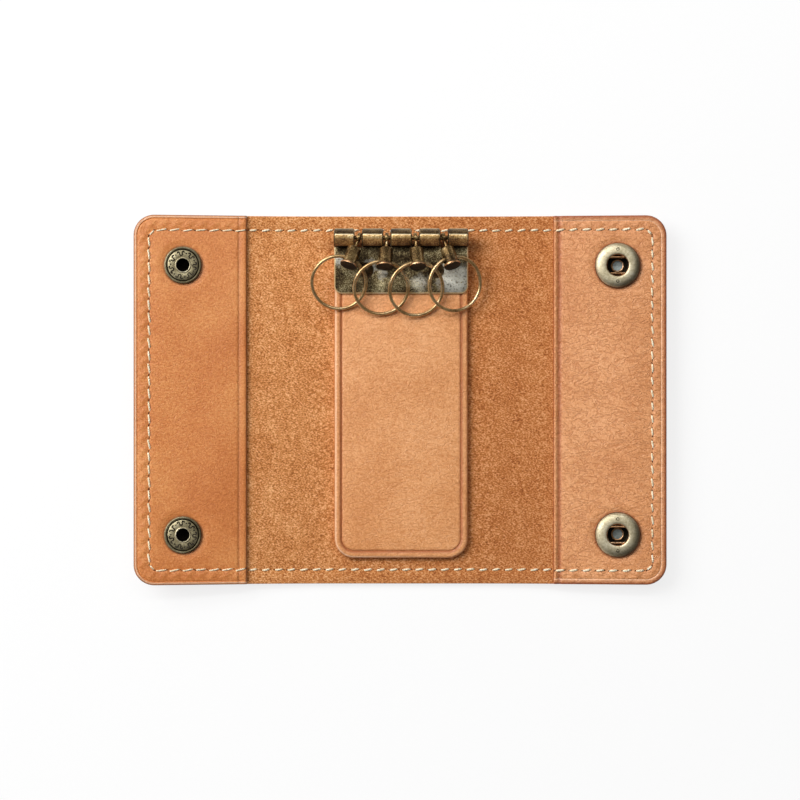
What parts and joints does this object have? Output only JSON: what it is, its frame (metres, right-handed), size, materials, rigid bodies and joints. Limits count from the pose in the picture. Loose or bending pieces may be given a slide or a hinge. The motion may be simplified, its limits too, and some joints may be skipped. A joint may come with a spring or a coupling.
{
  "type": "key case",
  "caption": "Folding leather key case opened flat: two end flaps with press studs, a padded tongue and a bar plate of swivelling hooks with key rings.",
  "frame": {"origin": "centre of the middle panel's flat underside, on which the opened case lies", "axes": "+X towards the right flap with the snap sockets, +Y towards the hook bar, +Z out of the inside of the case"},
  "size_m": [0.1392, 0.0964, 0.0115],
  "materials": {
    "cover_leather": "smooth vegetable-tanned grain",
    "smooth_leather": "smooth vegetable-tanned grain",
    "suede_leather": "napped flesh side",
    "sewing_thread": "waxed linen",
    "antique_brass": "antiqued plating"
  },
  "bodies": {
    "centre": {"cover_centre": "cover_leather", "cover_fold_left": "cover_leather", "cover_fold_right": "cover_leather", "lining_centre": "suede_leather", "lining_fold_left": "suede_leather", "lining_fold_right": "suede_leather", "tongue_back": "smooth_leather", "tongue_face": "smooth_leather", "hook_plate": "antique_brass", "hook_bar": "antique_brass", "plate_rivets": "antique_brass", "rivet_burrs": "antique_brass", "thread_centre": "sewing_thread", "thread_fold_left": "sewing_thread", "thread_fold_right": "sewing_thread"},
    "left_flap": {"cover_left": "cover_leather", "lining_left": "suede_leather", "facing_left": "smooth_leather", "snap_eyelets": "antique_brass", "snap_studs": "antique_brass", "thread_left": "sewing_thread"},
    "right_flap": {"cover_right": "cover_leather", "lining_right": "suede_leather", "facing_right": "smooth_leather", "snap_sockets": "antique_brass", "snap_springs": "antique_brass", "snap_caps": "antique_brass", "thread_right": "sewing_thread"},
    "hook_1": {"hook_pin_1": "antique_brass"},
    "swivel_1": {"bell_1": "antique_brass"},
    "ring_1": {"key_ring_1": "antique_brass"},
    "hook_2": {"hook_pin_2": "antique_brass"},
    "swivel_2": {"bell_2": "antique_brass"},
    "ring_2": {"key_ring_2": "antique_brass"},
    "hook_3": {"hook_pin_3": "antique_brass"},
    "swivel_3": {"bell_3": "antique_brass"},
    "ring_3": {"key_ring_3": "antique_brass"},
    "hook_4": {"hook_pin_4": "antique_brass"},
    "swivel_4": {"bell_4": "antique_brass"},
    "ring_4": {"key_ring_4": "antique_brass"}
  },
  "joints": [
    {"name": "left_flap_fold", "type": "hinge", "parent": "centre", "child": "left_flap", "pos_m": [-0.02806, 0, 0.00806], "axis": [0, 1, 0], "range_deg": [0, 172.84], "deforming": ["cover_fold_left", "lining_fold_left", "thread_fold_left"]},
    {"name": "right_flap_fold", "type": "hinge", "parent": "centre", "child": "right_flap", "pos_m": [0.02813, 0, 0.01073], "axis": [0, -1, 0], "range_deg": [0, 175.44], "deforming": ["cover_fold_right", "lining_fold_right", "thread_fold_right"]},
    {"name": "hook_1_lift", "type": "hinge", "parent": "centre", "child": "hook_1", "pos_m": [-0.01076, 0.04225, 0.0062], "axis": [-1, 0, 0], "range_deg": [0, 150]},
    {"name": "bell_1_swivel", "type": "hinge", "parent": "hook_1", "child": "swivel_1", "pos_m": [-0.01275, 0.0366, 0.0086], "axis": [0.309, 0.8755, -0.3716], "range_deg": [-1, 3]},
    {"name": "ring_1_swing", "type": "hinge", "parent": "swivel_1", "child": "ring_1", "pos_m": [-0.01275, 0.0366, 0.0086], "axis": [-0.8954, 0.419, 0.1507], "range_deg": [0, 60]},
    {"name": "hook_2_lift", "type": "hinge", "parent": "centre", "child": "hook_2", "pos_m": [-0.00343, 0.04225, 0.0062], "axis": [-1, 0, 0], "range_deg": [0, 150]},
    {"name": "bell_2_swivel", "type": "hinge", "parent": "hook_2", "child": "swivel_2", "pos_m": [-0.00384, 0.03586, 0.00891], "axis": [0.0593, 0.9189, -0.39], "range_deg": [-1, 3]},
    {"name": "ring_2_swing", "type": "hinge", "parent": "swivel_2", "child": "ring_2", "pos_m": [-0.00384, 0.03586, 0.00891], "axis": [-0.9827, 0.1093, 0.1496], "range_deg": [0, 60]},
    {"name": "hook_3_lift", "type": "hinge", "parent": "centre", "child": "hook_3", "pos_m": [0.00402, 0.04225, 0.0062], "axis": [-1, 0, 0], "range_deg": [0, 150]},
    {"name": "bell_3_swivel", "type": "hinge", "parent": "hook_3", "child": "swivel_3", "pos_m": [0.00453, 0.03564, 0.00901], "axis": [-0.0698, 0.9183, -0.3898], "range_deg": [-1, 3]},
    {"name": "ring_3_swing", "type": "hinge", "parent": "swivel_3", "child": "ring_3", "pos_m": [0.00453, 0.03564, 0.00901], "axis": [-0.9798, -0.016, 0.1995], "range_deg": [0, 60]},
    {"name": "hook_4_lift", "type": "hinge", "parent": "centre", "child": "hook_4", "pos_m": [0.01136, 0.04225, 0.0062], "axis": [-1, 0, 0], "range_deg": [0, 150]},
    {"name": "bell_4_swivel", "type": "hinge", "parent": "hook_4", "child": "swivel_4", "pos_m": [0.01294, 0.03692, 0.00846], "axis": [-0.2639, 0.8879, -0.3769], "range_deg": [-1, 3]},
    {"name": "ring_4_swing", "type": "hinge", "parent": "swivel_4", "child": "ring_4", "pos_m": [0.01294, 0.03692, 0.00846], "axis": [-0.9287, -0.257, 0.2674], "range_deg": [0, 60]}
  ],
  "couplings": [
    {"joint": "hook_2_lift", "follows": "hook_1_lift", "ratio": 1},
    {"joint": "bell_2_swivel", "follows": "bell_1_swivel", "ratio": 1},
    {"joint": "ring_2_swing", "follows": "ring_1_swing", "ratio": 1},
    {"joint": "hook_3_lift", "follows": "hook_1_lift", "ratio": 1},
    {"joint": "bell_3_swivel", "follows": "bell_1_swivel", "ratio": 1},
    {"joint": "ring_3_swing", "follows": "ring_1_swing", "ratio": 1},
    {"joint": "hook_4_lift", "follows": "hook_1_lift", "ratio": 1},
    {"joint": "bell_4_swivel", "follows": "bell_1_swivel", "ratio": 1},
    {"joint": "ring_4_swing", "follows": "ring_1_swing", "ratio": 1}
  ]
}
